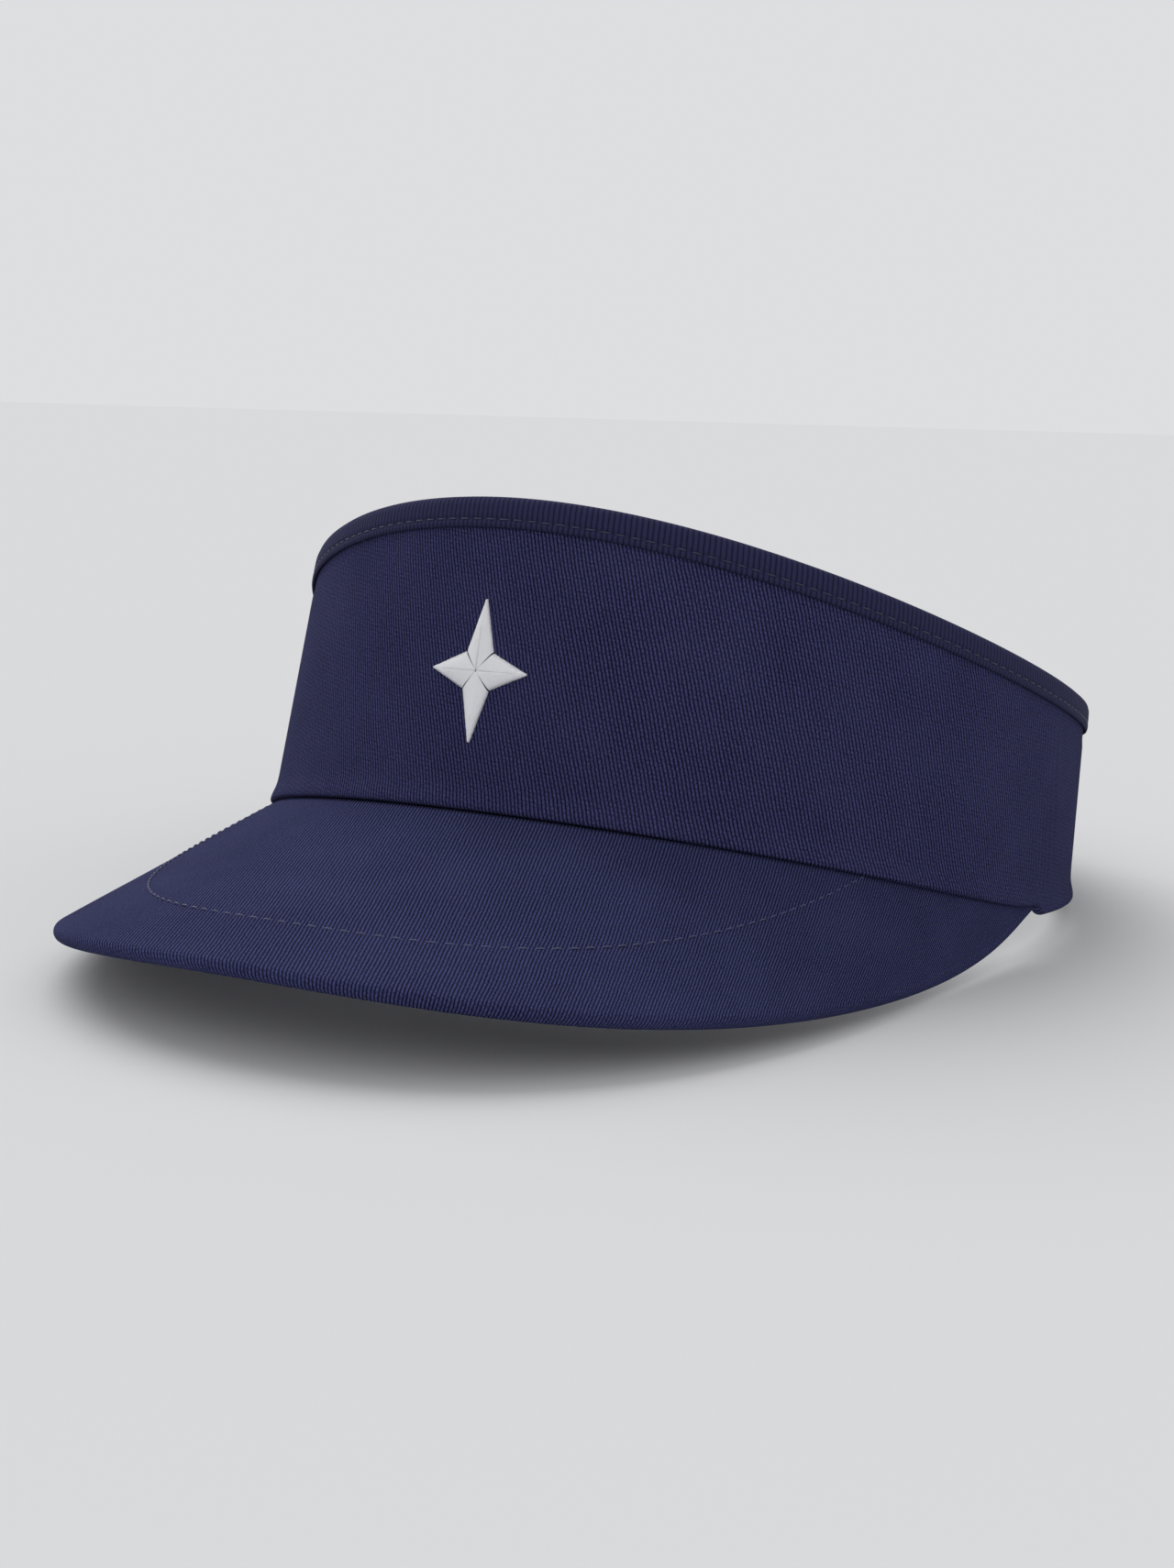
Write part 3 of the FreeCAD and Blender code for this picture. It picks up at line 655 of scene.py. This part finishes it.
# ---------------------------------------------------------------- emblem
EMBLEM_Z, EMBLEM_TALL, EMBLEM_WIDE = 27.4, 14.0, 10.5
WAIST_ACROSS, WAIST_UP = 2.9, 3.625         # the inner corner between two points of the star
THREAD_PITCH, THREAD_RADIUS = 0.34, 0.21


def front_point(x, z, raise_by):
    """Point over the crown's front at a sideways place and height above the emblem's middle."""
    height = EMBLEM_Z + z
    a = HALF_WIDTH + (UPPER_HALF_WIDTH - HALF_WIDTH) * height / REFERENCE_HEIGHT
    t = np.degrees(np.arcsin(np.clip(x / a, -1, 1)))
    return wall(t, height, -raise_by)


def build_emblem():
    """Four-pointed star in satin stitch: each half point is filled with slanted parallel threads."""
    steps = 9
    tips = [(0, EMBLEM_TALL), (EMBLEM_WIDE, 0), (0, -EMBLEM_TALL), (-EMBLEM_WIDE, 0)]
    corners = [(WAIST_ACROSS, WAIST_UP), (WAIST_ACROSS, -WAIST_UP),
               (-WAIST_ACROSS, -WAIST_UP), (-WAIST_ACROSS, WAIST_UP)]
    verts, faces = [], []
    for number, tip in enumerate(tips):
        tip = np.array(tip, float)
        length = np.linalg.norm(tip)
        for flank in (corners[number - 1], corners[number]):
            flank = np.array(flank, float)
            for u in np.arange(0.02, 0.985, THREAD_PITCH / length):
                ridge = tip * u
                edge = flank + (tip - flank) * min(1.0, u + 0.02)
                v = np.linspace(0, 1, steps)
                line = ridge + (edge - ridge) * v[:, None]
                width = np.linalg.norm(edge - ridge)
                height = (0.35 + 0.55 * min(1.0, width / 2.0)) * np.sqrt(np.clip(1 - v ** 2, 0, 1)) + 0.05
                line = line + RNG.normal(0, 0.015, 2)
                centre = front_point(line[:, 0], line[:, 1], height)
                tangent = np.gradient(centre, axis=0)
                tangent /= np.linalg.norm(tangent, axis=1)[:, None] + 1e-9
                side = np.cross(tangent, (0, -1, 0.1))
                side /= np.linalg.norm(side, axis=1)[:, None] + 1e-9
                up = np.cross(side, tangent)
                add_tube(verts, faces, centre, side, up, np.full(steps, THREAD_RADIUS))
    new_piece("emblem_threads", to_row(np.array(verts)), faces, None, WHITE_THREAD, "root",
              ["emblem_embroidery"])


# ---------------------------------------------------------------- sweatband
BAND_END, BAND_LIFT, BAND_WIDTH, TAPE_WIDTH = 135.5, 1.0, 30.0, 7.0
BAND_SEAM = 2.2         # distance of the row of stitching from the band's upper edge
LABELS = {"size_label": (108.0, 118.0), "care_label": (119.5, 131.0)}   # the angles each one spans
LABEL_LOW, LABEL_HIGH = TAPE_WIDTH + 1.0, BAND_WIDTH - 4.0


def band_height(t, lift):
    """Height over the bent line that the sweatband follows."""
    return np.maximum(straight_hem(t), straight_hem(t, SEAM_SLOPE)) + lift


def build_sweatband():
    """Padded terry band: it swells between its tape and its row of stitching, and puckers at both."""
    t = np.linspace(-BAND_END, BAND_END, 901)
    low, high = band_height(t, BAND_LIFT + 0.5), band_height(t, BAND_WIDTH)
    share = np.linspace(0, 1, 52)
    up = (high - low)[:, None] * share
    z = low[:, None] + up
    lower, upper = TAPE_WIDTH - BAND_LIFT - 0.7, (high - low)[:, None] - BAND_SEAM
    middle = np.clip((up - lower) / (upper - lower), 0, 1)
    swell = 1.15 * np.sqrt(np.clip(1 - np.abs(2 * middle - 1) ** 5, 0, 1))
    lip = np.clip((up - upper) / BAND_SEAM, 0, 1)
    swell = np.where(up > upper, 0.75 * np.sin(math.pi * lip ** 0.8), swell)
    swell = np.where(up < lower, 0.8 * smooth(up, -0.5, 1.2), swell)
    run = angle_length(t)[:, None]
    pucker = 0.5 + 0.25 * np.sin(run * 0.83 + np.sin(run * 0.11) * 2) + 0.25 * np.sin(run * 1.31 + 1.0)
    near = np.exp(-np.abs(up - upper) / 2.5) + np.exp(-np.abs(up - lower) / 2.0)
    wave = 0.12 * np.sin(run / 13.0 + 0.7) * np.sin(up / 7.0)
    swell = swell * (1 - 0.28 * pucker * near * (up > lower)) + wave * (middle > 0) * (middle < 1)
    ends = np.sqrt(np.clip(1 - (1 - (BAND_END - np.abs(t)) / 1.8).clip(0, 1) ** 2, 0.0, 1))[:, None]
    grain = RNG.normal(0, 0.085, z.shape) * (swell > 0.2)
    depth = 3.75 + (swell + grain) * ends
    back_z = low[:, None] + (high - low)[:, None] * np.linspace(1, 0, 8)
    back = np.full(back_z.shape, 2.65)
    loops = wall(t[:, None], np.concatenate([z, back_z], 1), np.concatenate([depth, back], 1))
    band = ribbon("sweatband_terry", loops, loop_uv(angle_length(t), loops), TERRY, "root",
                  ["sweatband_face"])

    # (depth, rise) round the folded tape: down its face, under the band and back up inside
    section = [(5.12, 6.0), (5.16, 5.0), (5.16, 3.5), (5.12, 2.0), (5.0, 0.9), (4.75, 0.35),
               (4.3, 0.03), (3.7, -0.05), (3.1, 0.03), (2.72, 0.4), (2.68, 1.2), (2.9, 1.2),
               (3.2, 0.6), (3.9, 0.5), (4.5, 0.7), (4.75, 1.3), (4.85, 3.0), (4.85, 5.9), (5.0, 6.15)]
    t = np.linspace(-BAND_END - 0.3, BAND_END + 0.3, 601)
    base = band_height(t, BAND_LIFT)
    flutter = 0.05 * np.sin(angle_length(t) * 0.9)
    loops = np.stack([wall(t, base + rise, d + flutter) for d, rise in section], 1)
    ribbon("sweatband_tape_cloth", loops, loop_uv(angle_length(t), loops), HEM_TAPE, "root",
           ["sweatband_tape"])

    t = np.linspace(-BAND_END + 0.8, BAND_END - 0.8, 1400)
    seam = wall_line(t, band_height(t, BAND_WIDTH - BAND_SEAM), 3.86)
    edge = wall_line(t, band_height(t, BAND_LIFT + 5.0), 5.16)
    stitches("sweatband_stitches", [(path, -normals) for path, normals in (seam, edge)], NAVY_THREAD, "root",
             2.4, 0.8, 0.2, ["sweatband_stitch"])


def build_labels():
    """Two blank woven labels with folded ends, sewn to the band."""
    for name, (t0, t1) in LABELS.items():
        t = np.linspace(t0, t1, 30)
        share = np.linspace(0, 1, 28)
        low, high = straight_hem(t) + LABEL_LOW, straight_hem(t) + LABEL_HIGH
        z = high[:, None] + (low - high)[:, None] * share
        ends = smooth(np.minimum(share, 1 - share), 0.0, 0.05)
        bow = 0.08 * np.sin(math.pi * (t - t0) / (t1 - t0) * 2)[:, None]
        face = 5.38 + (0.06 * ends)[None, :] + bow
        back = np.full(z.shape, 5.0)
        loops = wall(t[:, None], np.concatenate([z[:, ::-1], z], 1), np.concatenate([face[:, ::-1], back], 1))
        ribbon(name + "_cloth", loops, loop_uv(angle_length(t), loops), LABEL, "root", [name])
        rows = []
        for place in (0.06, 0.94):
            u = np.linspace(t0 + 0.3, t1 - 0.3, 60)
            height = straight_hem(u) + LABEL_HIGH * (1 - place) + LABEL_LOW * place
            path, normals = wall_line(u, height, 5.44)
            rows.append((path, -normals))
        stitches(name + "_stitches", rows, LABEL_THREAD, "root", 1.6, 0.7, 0.15)


# ---------------------------------------------------------------- closure straps and patches
STRAP_CLOTH, STRAP_RISE, STRAP_DROP = 1.4, 2.6, 3.0
LOOP_FACE = 2.85                        # depth of the loop patch's outer face
TAB_DEPTH, INNER_DEPTH = 0.2, 3.6       # depths of the two straps' outer faces where they overlap
EDGE_ROW = 2.0                          # distance of the straps' edge stitching from their edges
STRAP_MEETS_TAB, TAB_END, INNER_START = 164.0, 214.0, 165.0
HOOK_SPAN, LOOP_SPAN = (193.0, 212.5), (168.0, 214.3)
PATCH_MARGIN, PATCH_ROW = 2.5, 3.6      # how far a patch and its stitching stay inside the strap
MM_PER_DEGREE = math.radians(1) * 100.0


def outer_depth(t):
    """Depth of the outer strap's outer face: it comes out of the crown's end and eases outwards."""
    return 1.0 + (TAB_DEPTH - 1.0) * smooth(t, CROWN_END + 1, CROWN_END + 11)


def inner_depth(t):
    """Depth of the inner strap's outer face: it runs inside the tab and comes out behind its end."""
    return INNER_DEPTH + (1.1 - INNER_DEPTH) * smooth(t, 214.5, 360 - CROWN_END - 0.5)


def strap_edges(t, margin=0.0):
    """Heights of a strap's top and bottom edges, or of lines a margin inside them."""
    return top_height(t, STRAP_RISE + margin), straight_hem(t) + STRAP_DROP + margin


def strap_section(t, depth):
    """Points round a folded strap: flat faces, soft round edges and a dent along each row of
    stitching."""
    top, low = strap_edges(t)
    half = STRAP_CLOTH / 2
    turn = np.radians(np.linspace(0, 180, 9)[1:-1])
    share = np.linspace(0, 1, 61)
    face_z = (top - half)[:, None] + (low - top + STRAP_CLOTH)[:, None] * share
    from_edge = np.minimum(top[:, None] - face_z, face_z - low[:, None])
    dent = 0.22 * np.exp(-((from_edge - EDGE_ROW) / 0.45) ** 2)
    puff = 0.06 * np.sin(face_z * 1.7 + t[:, None]) * smooth(from_edge, 2.5, 5.0)
    front = depth[:, None] + dent + puff
    back = depth[:, None] + STRAP_CLOTH - dent - puff
    bottom_z = (low + half)[:, None] - half * np.sin(turn)
    bottom_d = (depth + half)[:, None] - half * np.cos(turn)
    top_z = (top - half)[:, None] + half * np.sin(turn)
    top_d = (depth + half)[:, None] + half * np.cos(turn)
    z = np.concatenate([face_z, bottom_z, face_z[:, ::-1], top_z], 1)
    d = np.concatenate([front, bottom_d, back[:, ::-1], top_d], 1)
    return wall(t[:, None], z, d)


def strap(name, t, depth, body, replaced, rounded=None):
    """A stretch of folded strap; the rounded end is pinched shut like a turned and pressed tab."""
    loops = strap_section(t, depth)
    if rounded is not None:
        tip = t[0] if rounded == "start" else t[-1]
        away = np.abs(t - tip) * MM_PER_DEGREE
        share = 0.25 + 0.75 * np.sqrt(np.clip(1 - (1 - np.clip(away / 0.7, 0, 1)) ** 2, 0, 1))
        middle = wall(t[:, None], loops[..., 2], (depth + STRAP_CLOTH / 2)[:, None])
        loops = middle + (loops - middle) * share[:, None, None]
    return ribbon(name, loops, loop_uv(angle_length(t), loops), STRAP_TWILL, body, replaced)


def patch_rows(t0, t1, face, out, thickness, grain):
    """Slab of tape on a strap: its shown face is rough, its edges are pressed thin and flat."""
    t = np.linspace(t0, t1, 150)
    top, low = strap_edges(t, PATCH_MARGIN)
    share = np.linspace(0, 1, 90)
    z = top[:, None] + (low - top)[:, None] * share
    along = np.minimum(t - t0, t1 - t) * MM_PER_DEGREE
    edge = np.minimum(along[:, None], np.minimum(top[:, None] - z, z - low[:, None]))
    pile = thickness * (0.35 + 0.65 * smooth(edge, 0.4, 1.6))
    pile = pile + RNG.uniform(-grain, 0, z.shape) * smooth(edge, 0.8, 1.6)
    shown = face + out * (thickness - pile)
    back_z = top[:, None] + (low - top)[:, None] * share[::15]
    back = np.full(back_z.shape, face + out * thickness)
    loops = wall(t[:, None], np.concatenate([z, back_z[:, ::-1]], 1),
                 np.concatenate([shown, back[:, ::-1]], 1))
    return t, (loops if out > 0 else loops[:, ::-1])


def rectangle(t0, t1, depth, out):
    """Path and normals of a rectangular row of stitching on a strap; out is 1 on its outer face."""
    t = np.concatenate([np.linspace(t0, t1, 120), np.full(60, t1),
                        np.linspace(t1, t0, 120), np.full(60, t0)])
    top, low = strap_edges(t, PATCH_ROW)
    share = np.concatenate([np.zeros(120), np.linspace(0, 1, 60), np.ones(120), np.linspace(1, 0, 60)])
    path, normals = wall_line(t, top + (low - top) * share, depth)
    return path, normals * out


def hooks(t0, t1, margin, depth):
    """Rows of tiny bent hooks that stand on the hook patch."""
    verts, faces = [], []
    outline = np.array([(0, 0), (0, 0.34), (0.10, 0.5), (0.28, 0.54), (0.42, 0.42)])
    for number, t in enumerate(np.linspace(t0, t1, 26)):
        top, low = (float(edge[0]) for edge in strap_edges(np.array([t]), margin))
        for z in np.arange(low, top, 1.15):
            lean = 1 if number % 2 else -1
            base = len(verts)
            for across, rise in outline:
                width = 0.16 - 0.1 * rise
                for side in (-width, width):
                    for thick in (-0.09, 0.09):
                        point = wall(t + (across * lean + thick) * 0.55, z + side, depth + rise * 0.8)
                        verts.append(point)
            for k in range(len(outline) - 1):
                a, b = base + 4 * k, base + 4 * k + 4
                for i, j in ((0, 1), (1, 3), (3, 2), (2, 0)):
                    faces.append((a + i, a + j, b + j, b + i))
            faces.append((base + 16, base + 17, base + 19, base + 18))
    return np.array(verts), faces


def edge_rows(t, depth, out):
    """The two rows of stitching along a strap's edges, on its outer face."""
    rows = []
    for z in strap_edges(t, EDGE_ROW):
        path, normals = wall_line(t, z, depth + out * 0.12)
        rows.append((path, normals))
    return rows


def row_point(t, depth):
    """Row-frame point on the wall at the strap's middle height."""
    t = np.array([float(t)])
    top, low = strap_edges(t)
    return tuple(to_row(wall(t, (top + low) / 2, depth)[0]))


def build_straps():
    """The outer strap runs on past the crown's end into the closure tab, and the inner strap runs inside the tab
    and comes out behind its end.
    """
    root_bend = (row_point(CROWN_END, 0.9), row_point(CROWN_END + 3.5, 0.9))
    peel_bend = (row_point(188.0, 0.9), row_point(190.5, 0.9))
    inner_bend = (row_point(360 - CROWN_END, 4.3), row_point(219.3, 4.3))

    t = np.linspace(CROWN_END - 1.5, STRAP_MEETS_TAB, 80)
    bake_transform(strap("outer_strap_cloth", t, outer_depth(t), None, ["outer_strap"]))
    t_rows = np.linspace(CROWN_END + 1.2, STRAP_MEETS_TAB, 200)
    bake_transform(stitches("outer_strap_stitches", edge_rows(t_rows, outer_depth(t_rows), 0.6), NAVY_THREAD, None,
                      2.2, 0.8, 0.19))

    t = np.concatenate([np.linspace(STRAP_MEETS_TAB, TAB_END - 1.2, 150),
                        np.linspace(TAB_END - 1.0, TAB_END, 12)])
    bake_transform(strap("closure_tab_cloth", t, np.full(len(t), TAB_DEPTH), None, ["closure_tab"], rounded="end"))
    t_rows = np.linspace(STRAP_MEETS_TAB, TAB_END - 1.8, 400)
    rows = edge_rows(t_rows, np.full(len(t_rows), TAB_DEPTH), 0.6)
    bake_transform(stitches("closure_tab_stitches", rows, NAVY_THREAD, None, 2.2, 0.8, 0.19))

    t = np.concatenate([np.linspace(INNER_START, INNER_START + 1.2, 12),
                        np.linspace(INNER_START + 1.4, 360 - CROWN_END + 1.5, 190)])
    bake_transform(strap("inner_strap_cloth", t, inner_depth(t), None, ["inner_strap"], rounded="start"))

    stitches("hook_patch_box_stitches", [rectangle(193.5, 212.0, TAB_DEPTH - 0.02, 1.0)], NAVY_THREAD,
             "closure_tab", 2.0, 0.8, 0.19, ["hook_patch_stitch"])
    stitches("loop_patch_box_stitches",
             [rectangle(168.5, 213.5, INNER_DEPTH + STRAP_CLOTH + 0.02, -1.0)], NAVY_THREAD,
             "inner_strap", 2.0, 0.8, 0.19, ["loop_patch_stitch"])

    t, loops = patch_rows(*HOOK_SPAN, TAB_DEPTH + STRAP_CLOTH, -1, -0.35, 0.0)
    ribbon("hook_tape", loops, loop_uv(angle_length(t), loops), HOOK_TAPE, "closure_tab",
           ["hook_patch"])
    verts, faces = hooks(194.0, 211.4, 4.4, TAB_DEPTH + STRAP_CLOTH + 0.3)
    new_piece("hook_rows", to_row(verts), faces, None, HOOK_TAPE, "closure_tab", ())
    t, loops = patch_rows(*LOOP_SPAN, LOOP_FACE, 1, 0.7, 0.22)
    ribbon("loop_tape", loops, loop_uv(angle_length(t), loops), LOOP_TAPE, "inner_strap",
           ["loop_patch"])


def build_end_folds():
    """Folded cloth that closes each rear end of the crown round the root of its strap."""
    for side in (1, -1):
        t = np.linspace(CROWN_END - 6.0, CROWN_END + 0.55, 24) * side
        z1, z0 = top_height(t, BINDING_WIDTH - 1.2), straight_hem(t) + 0.4
        share = np.linspace(0, 1, 50)
        z = z1[:, None] + (z0 - z1)[:, None] * share
        reach = np.sqrt(np.clip(1 - ((np.abs(t) - (CROWN_END - 1.2)) / 1.75).clip(0, 1) ** 2, 0, 1))
        start = smooth(np.abs(t), CROWN_END - 6.0, CROWN_END - 5.2)
        dent = 0.2 * np.exp(-((np.abs(t) - (CROWN_END - 4.4)) * 1.6 / 0.5) ** 2)
        middle = 1.25
        front = middle - (middle + 0.05 + 0.3 * start - dent) * reach
        back = middle + (middle + 0.1 + 0.3 * start - dent) * reach
        shape_z = np.concatenate([z, z[:, ::-1]], 1)
        shape_d = np.concatenate([np.repeat(front[:, None], 50, 1), np.repeat(back[:, None], 50, 1)], 1)
        loops = wall(t[:, None], shape_z, shape_d)
        if side < 0:
            loops = loops[:, ::-1]
        name = "left" if side > 0 else "right"
        ribbon(f"crown_end_fold_{name}", loops, loop_uv(angle_length(t), loops), STRAP_TWILL, "root",
               ())
        low = straight_hem(np.array([t[5]]))[0] + 6.0
        high = top_height(np.array([t[5]]), 9.0)[0]
        spots = np.arange(low, high, 0.42)
        middle_t = side * (CROWN_END - 2.6)
        zigzag_t = middle_t + side * np.where(np.arange(len(spots)) % 2, 0.65, -0.65)
        rows = []
        for a, b, za, zb in zip(zigzag_t[:-1], zigzag_t[1:], spots[:-1], spots[1:]):
            u = np.linspace(0, 1, 8)
            rows.append(wall_line(a + (b - a) * u, za + (zb - za) * u, -0.42))
        stitches(f"bar_tack_{name}_threads", rows, NAVY_THREAD, "root", 3.0, 0.05, 0.2,
                 [f"bar_tack_{name}"])


# ---------------------------------------------------------------- rest of the CAD nodes, carried over
def finish_hidden_nodes():
    """Materials of the CAD nodes that are shown or hidden inside as they are."""
    finishes = {"crown_stiffener": BUCKRAM, "emblem_backing": PAPER, "brim_board": BOARD,
                "sweatband_foam": FOAM}
    for node, material in finishes.items():
        mesh = frame["nodes"][node].data
        mesh.materials.clear()
        mesh.materials.append(material)


# ---------------------------------------------------------------- camera, floor and light
# strength, spread in degrees and the way that each very soft light comes from
LIGHTS = {"overhead_key": (1.74, 50, (-0.7, 0.42, 1.0)), "front_fill": (0.6, 60, (0.47, -0.88, 0.3))}
SKY = (0.73, 0.735, 0.75, 1.0)
FLOOR = (0.575, 0.575, 0.58, 1.0)


def build_stage():
    azimuth, elevation, roll = math.radians(28.1), math.radians(9.1), math.radians(1.57)
    distance, aim = 0.5047, Vector(CROWN_ORIGIN) + Vector((0, -0.0309, 0.0206))
    slide = Vector((-0.0075, -0.0120))
    back = Vector((math.sin(azimuth) * math.cos(elevation), -math.cos(azimuth) * math.cos(elevation),
                   math.sin(elevation)))
    right = Vector((math.cos(azimuth), math.sin(azimuth), 0))
    up = back.cross(right)
    rolled_right = right * math.cos(roll) + up * math.sin(roll)
    rolled_up = up * math.cos(roll) - right * math.sin(roll)
    camera = bpy.data.objects.new("camera", bpy.data.cameras.new("camera"))
    bpy.context.scene.collection.objects.link(camera)
    turn = Matrix((rolled_right, rolled_up, back)).transposed().to_4x4()
    turn.translation = aim + back * distance + rolled_right * slide.x + rolled_up * slide.y
    camera.matrix_world = turn
    camera.data.lens = 52.9
    camera.data.sensor_width = 36
    camera.data.clip_start = 0.01
    bpy.context.scene.camera = camera

    floor_mesh = bpy.data.meshes.new("floor")
    reach = 60.0
    floor_mesh.from_pydata([(-reach, -reach, 0), (reach, -reach, 0), (reach, reach, 0), (-reach, reach, 0)],
                           [], [(0, 1, 2, 3)])
    floor = bpy.data.objects.new("floor", floor_mesh)
    bpy.context.scene.collection.objects.link(floor)
    pale = Nodes("pale_floor")
    pale.shader.inputs["Base Color"].default_value = FLOOR
    pale.shader.inputs["Roughness"].default_value = 1.0
    pale.shader.inputs["Specular IOR Level"].default_value = 0.0
    floor_mesh.materials.append(pale.material)

    world = bpy.data.worlds.new("studio")
    bpy.context.scene.world = world
    world.use_nodes = True
    world.node_tree.nodes["Background"].inputs["Color"].default_value = SKY
    world.node_tree.nodes["Background"].inputs["Strength"].default_value = 1.0

    for name, (strength, spread, source) in LIGHTS.items():
        light = bpy.data.lights.new(name, "SUN")
        light.energy, light.angle = strength, math.radians(spread)
        lamp = bpy.data.objects.new(name, light)
        bpy.context.scene.collection.objects.link(lamp)
        lamp.rotation_euler = (-Vector(source)).to_track_quat("-Z", "Y").to_euler()
    bpy.context.scene.view_settings.view_transform = "Standard"


build_stage()
build_crown()
build_binding()
build_crown_stitches()
build_brim()
build_brim_stitches()
build_emblem()
build_sweatband()
build_labels()
build_straps()
build_end_folds()
finish_hidden_nodes()
